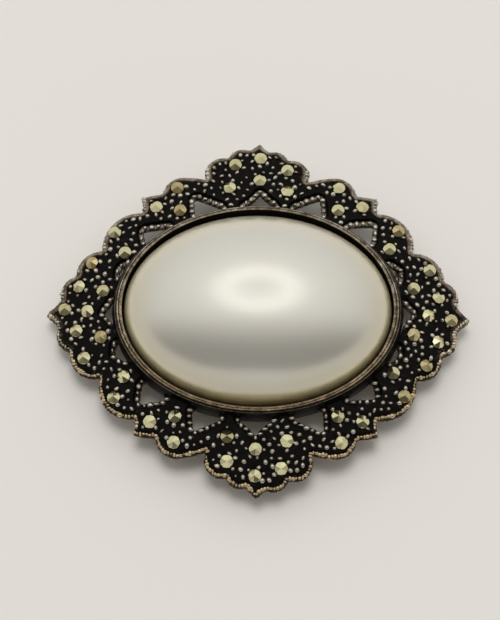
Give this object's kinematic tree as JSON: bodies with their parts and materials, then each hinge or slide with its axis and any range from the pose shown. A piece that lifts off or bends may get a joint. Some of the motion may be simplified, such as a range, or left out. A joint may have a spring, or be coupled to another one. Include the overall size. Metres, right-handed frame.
{
  "type": "oval brooch",
  "caption": "Oval cabochon brooch with an openwork stone-set border, a bezel cup, a hinged pin stem and a roll-over safety catch.",
  "frame": {"origin": "middle of the base of the brooch's box, on the surface it lies on, face up", "axes": "+X along the brooch's length towards its catch, +Y towards its top edge, +Z out of its face"},
  "size_m": [0.0478, 0.042, 0.0126],
  "materials": {
    "oxidised_silver": "black-oxidised cast silver, worn bright on raised grains and edges",
    "worn_silver": "warm worn silver, dark in its corners",
    "card": "plain pressed card",
    "cement": "set cement, matte",
    "pearl": "satin nacre coat over a moulded core",
    "marcasite": "polished faceted pyrite, opaque and metallic",
    "findings": "tumbled silver with dark solder seams",
    "pin_steel": "drawn and polished stainless wire"
  },
  "bodies": {
    "brooch": {"border_frame": "oxidised_silver", "bezel_cup": "worn_silver", "pearl_pad": "card", "pearl_cement": "cement", "pearl_cabochon": "pearl", "hinge_bracket": "findings", "hinge_rivet": "findings", "catch_body": "findings", "stone_fan_lobe_upper_right": "marcasite", "stone_fan_lobe_lower_left": "marcasite", "stone_fan_lobe_lower_right": "marcasite", "stone_fan_lobe_upper_left": "marcasite", "stone_fan_root_upper_right": "marcasite", "stone_fan_root_lower_left": "marcasite", "stone_fan_root_lower_right": "marcasite", "stone_fan_root_upper_left": "marcasite", "stone_trefoil_lobe_upper_right": "marcasite", "stone_trefoil_lobe_lower_left": "marcasite", "stone_trefoil_lobe_lower_right": "marcasite", "stone_trefoil_lobe_upper_left": "marcasite", "stone_trefoil_root_upper_right": "marcasite", "stone_trefoil_root_lower_left": "marcasite", "stone_trefoil_root_lower_right": "marcasite", "stone_trefoil_root_upper_left": "marcasite", "stone_leaf_upper_right": "marcasite", "stone_leaf_lower_left": "marcasite", "stone_leaf_lower_right": "marcasite", "stone_leaf_upper_left": "marcasite", "stone_crescent_horn_upper_right": "marcasite", "stone_crescent_horn_lower_left": "marcasite", "stone_crescent_horn_lower_right": "marcasite", "stone_crescent_horn_upper_left": "marcasite", "stone_crescent_root_upper_right": "marcasite", "stone_crescent_root_lower_left": "marcasite", "stone_crescent_root_lower_right": "marcasite", "stone_crescent_root_upper_left": "marcasite", "stone_side_lobe_far_upper_right": "marcasite", "stone_side_lobe_far_lower_left": "marcasite", "stone_side_lobe_far_lower_right": "marcasite", "stone_side_lobe_far_upper_left": "marcasite", "stone_side_root_upper_right": "marcasite", "stone_side_root_lower_left": "marcasite", "stone_side_root_lower_right": "marcasite", "stone_side_root_upper_left": "marcasite", "stone_side_lobe_near_upper_right": "marcasite", "stone_side_lobe_near_lower_left": "marcasite", "stone_side_lobe_near_lower_right": "marcasite", "stone_side_lobe_near_upper_left": "marcasite", "stone_fan_tip_top": "marcasite", "stone_fan_tip_bottom": "marcasite", "stone_fan_centre_top": "marcasite", "stone_fan_centre_bottom": "marcasite", "stone_side_tip_right": "marcasite", "stone_side_tip_left": "marcasite", "stone_side_centre_right": "marcasite", "stone_side_centre_left": "marcasite"},
    "pin": {"pin_stem": "pin_steel"},
    "catch_lock": {"catch_rotor": "findings"}
  },
  "joints": [
    {"name": "stem_hinge", "type": "hinge", "parent": "brooch", "child": "pin", "pos_m": [-0.0178, 0.005, 0.0014], "axis": [0, 1, 0], "range_deg": [0, 95]},
    {"name": "catch_turn", "type": "hinge", "parent": "brooch", "child": "catch_lock", "pos_m": [0.0172, 0.005, 0.0014], "axis": [1, 0, 0], "range_deg": [-120, 0]}
  ]
}
